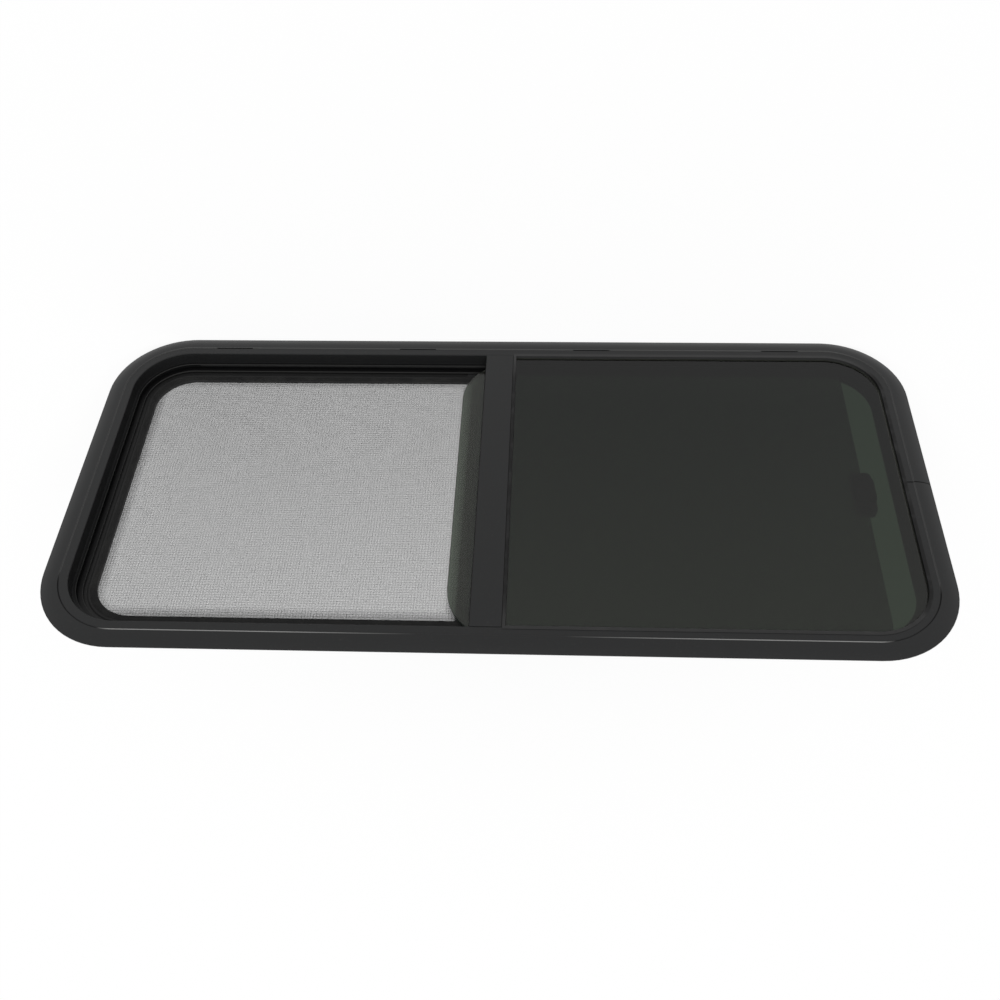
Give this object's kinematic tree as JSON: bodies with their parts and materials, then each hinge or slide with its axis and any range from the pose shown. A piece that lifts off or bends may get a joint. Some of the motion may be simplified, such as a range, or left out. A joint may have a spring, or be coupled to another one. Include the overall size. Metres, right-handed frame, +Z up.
{
  "type": "caravan sliding window",
  "caption": "Round-cornered sliding caravan window: black bent-extrusion frame with drain slots, tinted fixed glass, tinted sliding pane with a latch, and an insect screen in the opening half.",
  "frame": {"origin": "on the flange's back face, at the middle of the bottom run, where it seats on the wall's outer skin", "axes": "+Z up as fitted, +X along the wall towards the opening half, +Y into the vehicle; the outside face looks along -Y"},
  "size_m": [1.15, 0.0458, 0.5499],
  "materials": {
    "frame_coat": "satin black powder coat",
    "screen_coat": "satin black paint",
    "tinted_glass": "green-grey tinted float glass",
    "dark_tinted_glass": "dark green-grey tinted float glass",
    "bead_rubber": "matt black rubber",
    "liner_flock": "black flocked plastic",
    "pile": "dark grey pile",
    "screen_yarn": "charcoal coated glass-fibre mesh",
    "latch_plastic": "textured black plastic",
    "pin_steel": "plain steel",
    "mill_aluminium": "mill finish"
  },
  "bodies": {
    "frame": {"outer_frame": "frame_coat", "frame_splice": "mill_aluminium", "fixed_glass": "dark_tinted_glass", "fixed_glass_gasket": "bead_rubber", "fixed_glass_spacer": "bead_rubber", "mullion": "frame_coat", "mullion_pile_seal": "pile", "upper_track_liner": "liner_flock", "lower_track_liner": "liner_flock", "jamb_track_liner": "liner_flock", "screen_frame": "screen_coat", "screen_stile": "screen_coat", "screen_corner_upper": "latch_plastic", "screen_corner_lower": "latch_plastic", "screen_spline": "bead_rubber", "screen_mesh": "screen_yarn", "screen_tab_upper": "latch_plastic", "screen_tab_lower": "latch_plastic"},
    "sliding_pane": {"sliding_glass": "tinted_glass", "latch_body": "latch_plastic", "latch_lever": "latch_plastic", "latch_pin": "pin_steel"}
  },
  "joints": [
    {"name": "pane_slide", "type": "slide", "parent": "frame", "child": "sliding_pane", "axis": [1, 0, 0], "range_m": [-0.014, 0.4837]}
  ]
}
